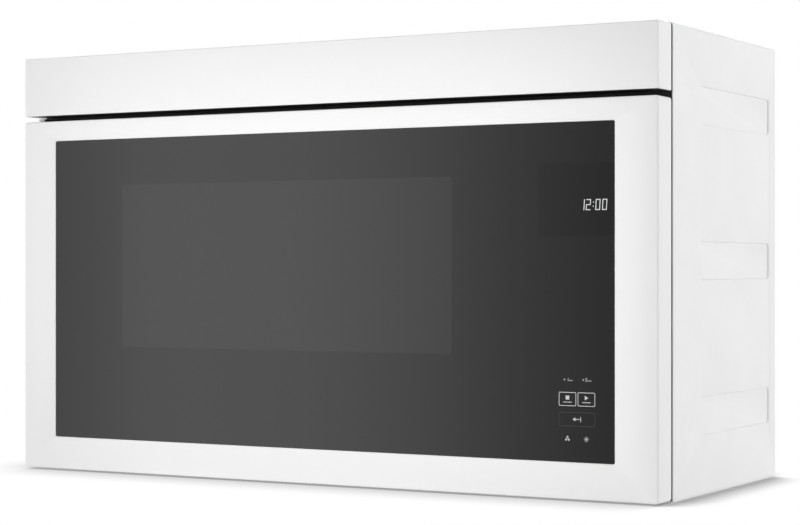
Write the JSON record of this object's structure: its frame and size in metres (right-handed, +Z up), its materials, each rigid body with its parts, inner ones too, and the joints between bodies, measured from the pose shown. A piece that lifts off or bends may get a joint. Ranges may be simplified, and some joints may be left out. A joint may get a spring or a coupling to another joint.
{
  "type": "over the range microwave",
  "caption": "Over-the-range microwave oven with a flush glass door, a vent bar above it, a two-filter hood underneath and a wall mounting plate.",
  "frame": {"origin": "middle of the footprint of the whole object, wall plate included, on its bottom face", "axes": "+X to the right as seen from the front, front towards -Y, wall side towards +Y, +Z up"},
  "size_m": [0.7588, 0.325, 0.4572],
  "materials": {
    "white_front": "satin",
    "white_paint": "satin",
    "black_paint": "satin",
    "zinc_steel": "satin",
    "core_steel": "matte",
    "door_glass": "polished",
    "clear_glass": "polished",
    "lens": "frosted",
    "oven_enamel": "gloss",
    "ceramic": "matte",
    "black_plastic": "matte",
    "grey_plastic": "matte",
    "red_plastic": "satin",
    "white_plastic": "satin",
    "circuit_board": "satin",
    "aluminium": "satin",
    "copper_wire": "gloss",
    "carbon": "matte"
  },
  "bodies": {
    "cabinet": {"outer_cabinet": "white_paint", "base_plate": "white_paint", "rear_panel": "zinc_steel", "wall_mounting_plate": "zinc_steel", "front_plate": "black_paint", "plenum_plate": "zinc_steel", "cord_bushing": "black_plastic", "vent_bar": "white_front", "bar_brackets": "zinc_steel", "bar_screws": "zinc_steel", "hinge_brackets": "zinc_steel", "panel_screws": "zinc_steel", "latch_board": "white_plastic", "interlock_switches": "black_plastic", "release_solenoid": "core_steel", "oven_cavity": "oven_enamel", "ceramic_floor": "ceramic", "waveguide": "zinc_steel", "stirrer_motor": "zinc_steel", "magnetron": "aluminium", "transformer_core": "core_steel", "transformer_windings": "copper_wire", "capacitor": "aluminium", "capacitor_clamp": "zinc_steel", "high_voltage_diode": "black_plastic", "fan_shroud": "grey_plastic", "fan_motor": "core_steel", "power_board": "circuit_board", "noise_filter_board": "circuit_board", "cavity_lamp": "white_plastic", "thermal_cutouts": "black_plastic", "cooktop_lamps": "white_plastic", "cooktop_lenses": "lens", "charcoal_filter": "carbon", "blower_housing": "zinc_steel", "blower_motor": "core_steel"},
    "door": {"door_frame": "white_front", "hinge_bushings": "grey_plastic", "door_glass": "door_glass", "choke_panel": "black_paint", "window_screen": "black_paint", "inner_window": "clear_glass", "choke_cover": "black_plastic", "control_carrier": "black_plastic", "touch_board": "circuit_board", "display_module": "black_plastic", "latch_spring": "zinc_steel"},
    "latch_hooks": {"latch_hooks": "grey_plastic"},
    "release_plunger": {"release_plunger": "zinc_steel"},
    "primary_plunger": {"primary_switch_plunger": "red_plastic"},
    "secondary_plunger": {"secondary_switch_plunger": "red_plastic"},
    "monitor_plunger": {"monitor_switch_plunger": "red_plastic"},
    "vent_blower": {"blower_wheels": "grey_plastic", "blower_shaft": "core_steel"},
    "cooling_fan": {"fan_blade": "grey_plastic"},
    "stirrer": {"stirrer_blade": "aluminium"},
    "left_filter": {"grease_filter_left": "aluminium", "filter_mesh_left": "aluminium"},
    "right_filter": {"grease_filter_right": "aluminium", "filter_mesh_right": "aluminium"}
  },
  "joints": [
    {"name": "door_hinge", "type": "hinge", "parent": "cabinet", "child": "door", "pos_m": [-0.3689, -0.1435, 0.19345], "axis": [0, 0, -1], "range_deg": [0, 100]},
    {"name": "latch_hook_slide", "type": "slide", "parent": "door", "child": "latch_hooks", "axis": [0, 0, 1], "range_m": [-0.0036, 0], "stiffness_N_per_m": 1200, "deforming": ["latch_spring"]},
    {"name": "release_lift", "type": "slide", "parent": "cabinet", "child": "release_plunger", "axis": [0, 0, 1], "range_m": [-0.0036, 0]},
    {"name": "primary_plunger_press", "type": "slide", "parent": "cabinet", "child": "primary_plunger", "axis": [0, 1, 0], "range_m": [0, 0.0015], "stiffness_N_per_m": 500},
    {"name": "secondary_plunger_press", "type": "slide", "parent": "cabinet", "child": "secondary_plunger", "axis": [0, 1, 0], "range_m": [0, 0.0015], "stiffness_N_per_m": 500},
    {"name": "monitor_plunger_press", "type": "slide", "parent": "cabinet", "child": "monitor_plunger", "axis": [0, 1, 0], "range_m": [0, 0.0015], "stiffness_N_per_m": 500},
    {"name": "vent_blower_spin", "type": "hinge", "parent": "cabinet", "child": "vent_blower", "pos_m": [0, 0.07, 0.393], "axis": [1, 0, 0], "continuous": true},
    {"name": "cooling_fan_spin", "type": "hinge", "parent": "cabinet", "child": "cooling_fan", "pos_m": [0.3, 0.09, 0.205], "axis": [0, 1, 0], "continuous": true},
    {"name": "stirrer_spin", "type": "hinge", "parent": "cabinet", "child": "stirrer", "pos_m": [-0.042, 0.0095, 0.1], "axis": [0, 0, 1], "continuous": true},
    {"name": "left_filter_drop", "type": "slide", "parent": "cabinet", "child": "left_filter", "axis": [0, 0, -1], "range_m": [0, 0.12]},
    {"name": "right_filter_drop", "type": "slide", "parent": "cabinet", "child": "right_filter", "axis": [0, 0, -1], "range_m": [0, 0.12]}
  ],
  "couplings": [
    {"joint": "release_lift", "follows": "latch_hook_slide", "ratio": 1}
  ]
}
